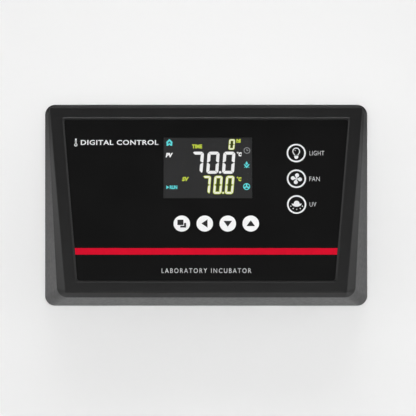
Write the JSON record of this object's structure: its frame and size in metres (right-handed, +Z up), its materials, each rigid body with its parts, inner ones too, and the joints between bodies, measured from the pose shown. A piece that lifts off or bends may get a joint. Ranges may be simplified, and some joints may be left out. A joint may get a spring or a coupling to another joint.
{
  "type": "laboratory incubator control panel",
  "caption": "Wedge-shaped control panel with a display and round keys, on a folded white front sheet with its boards behind.",
  "frame": {"origin": "centre of the four fixing holes, in the plane of the sheet's rear lips", "axes": "+Z up, +X to the user's right, -Y out of the panel towards the user"},
  "size_m": [0.32, 0.0858, 0.3],
  "materials": {
    "black_abs": "finely grained moulded plastic",
    "black_anodised": "black anodised extrusion",
    "board_green": "solder resist over copper",
    "brass_stud": "turned brass",
    "capacitor_sleeve": "shrink sleeve over an aluminium can",
    "capacitor_yellow": "moulded box",
    "chip_black": "moulded epoxy",
    "clear_pane": "clear polyester",
    "display_glass": "dark negative-image liquid crystal cell",
    "foam": "closed-cell foam",
    "fuse_glass": "glass tube with nickel caps",
    "galvanised_steel": "galvanised sheet",
    "key_black": "film printed black with a white ring",
    "key_white": "printed white",
    "lamination_steel": "varnished laminations",
    "light_guide": "milky acrylic",
    "nylon_white": "natural nylon",
    "plunger_white": "moulded acetal",
    "printed_film": "velvet polyester film printed from behind",
    "relay_blue": "moulded blue case",
    "ribbon_grey": "PVC",
    "switch_black": "moulded nylon",
    "terminal_green": "moulded nylon",
    "tin_plate": "tin plate",
    "varistor_blue": "dipped epoxy",
    "white_powder_coat": "satin powder coat with a fine orange peel",
    "winding_tape": "polyester tape over the winding",
    "zinc_plated_steel": "bright zinc plate"
  },
  "bodies": {
    "panel": {"bezel": "black_abs", "bezel_gasket": "foam", "bezel_screws": "zinc_plated_steel", "buzzer": "switch_black", "clock_crystal": "tin_plate", "controller_chip": "chip_black", "display_board": "board_green", "display_board_screws": "zinc_plated_steel", "display_cell": "display_glass", "display_driver_chips": "chip_black", "display_holder": "black_abs", "display_light_guide": "light_guide", "display_pins": "tin_plate", "display_window": "clear_pane", "driver_chip": "chip_black", "earth_stud": "brass_stud", "front_sheet": "white_powder_coat", "fuse": "fuse_glass", "fuse_clips": "tin_plate", "heat_sink": "black_anodised", "heat_sink_screw": "zinc_plated_steel", "heater_power_switch": "chip_black", "key_switches": "switch_black", "printed_film": "printed_film", "relay_board": "board_green", "relay_board_screws": "zinc_plated_steel", "relay_board_spacers": "nylon_white", "relays": "relay_blue", "ribbon_cable": "ribbon_grey", "ribbon_headers": "switch_black", "ribbon_sockets": "switch_black", "sensor_socket": "nylon_white", "smoothing_capacitors": "capacitor_sleeve", "suppression_capacitor": "capacitor_yellow", "terminal_block": "terminal_green", "terminal_screws": "zinc_plated_steel", "transformer_coil": "winding_tape", "transformer_core": "lamination_steel", "tray": "galvanised_steel", "tray_nuts": "zinc_plated_steel", "tray_studs": "zinc_plated_steel", "tray_washers": "zinc_plated_steel", "varistor": "varistor_blue"},
    "menu_key": {"key_menu": "key_white", "plunger_menu": "plunger_white"},
    "left_key": {"key_left": "key_white", "plunger_left": "plunger_white"},
    "down_key": {"key_down": "key_white", "plunger_down": "plunger_white"},
    "up_key": {"key_up": "key_white", "plunger_up": "plunger_white"},
    "light_key": {"key_light": "key_black", "plunger_light": "plunger_white"},
    "fan_key": {"key_fan": "key_black", "plunger_fan": "plunger_white"},
    "uv_key": {"key_uv": "key_black", "plunger_uv": "plunger_white"}
  },
  "joints": [
    {"name": "menu_press", "type": "slide", "parent": "panel", "child": "menu_key", "axis": [0, 0.9659, -0.2588], "range_m": [0, 0.0004], "stiffness_N_per_m": 600, "springref_m": -0.0006},
    {"name": "left_press", "type": "slide", "parent": "panel", "child": "left_key", "axis": [0, 0.9659, -0.2588], "range_m": [0, 0.0004], "stiffness_N_per_m": 600, "springref_m": -0.0006},
    {"name": "down_press", "type": "slide", "parent": "panel", "child": "down_key", "axis": [0, 0.9659, -0.2588], "range_m": [0, 0.0004], "stiffness_N_per_m": 600, "springref_m": -0.0006},
    {"name": "up_press", "type": "slide", "parent": "panel", "child": "up_key", "axis": [0, 0.9659, -0.2588], "range_m": [0, 0.0004], "stiffness_N_per_m": 600, "springref_m": -0.0006},
    {"name": "light_press", "type": "slide", "parent": "panel", "child": "light_key", "axis": [0, 0.9659, -0.2588], "range_m": [0, 0.0004], "stiffness_N_per_m": 600, "springref_m": -0.0006},
    {"name": "fan_press", "type": "slide", "parent": "panel", "child": "fan_key", "axis": [0, 0.9659, -0.2588], "range_m": [0, 0.0004], "stiffness_N_per_m": 600, "springref_m": -0.0006},
    {"name": "uv_press", "type": "slide", "parent": "panel", "child": "uv_key", "axis": [0, 0.9659, -0.2588], "range_m": [0, 0.0004], "stiffness_N_per_m": 600, "springref_m": -0.0006}
  ]
}
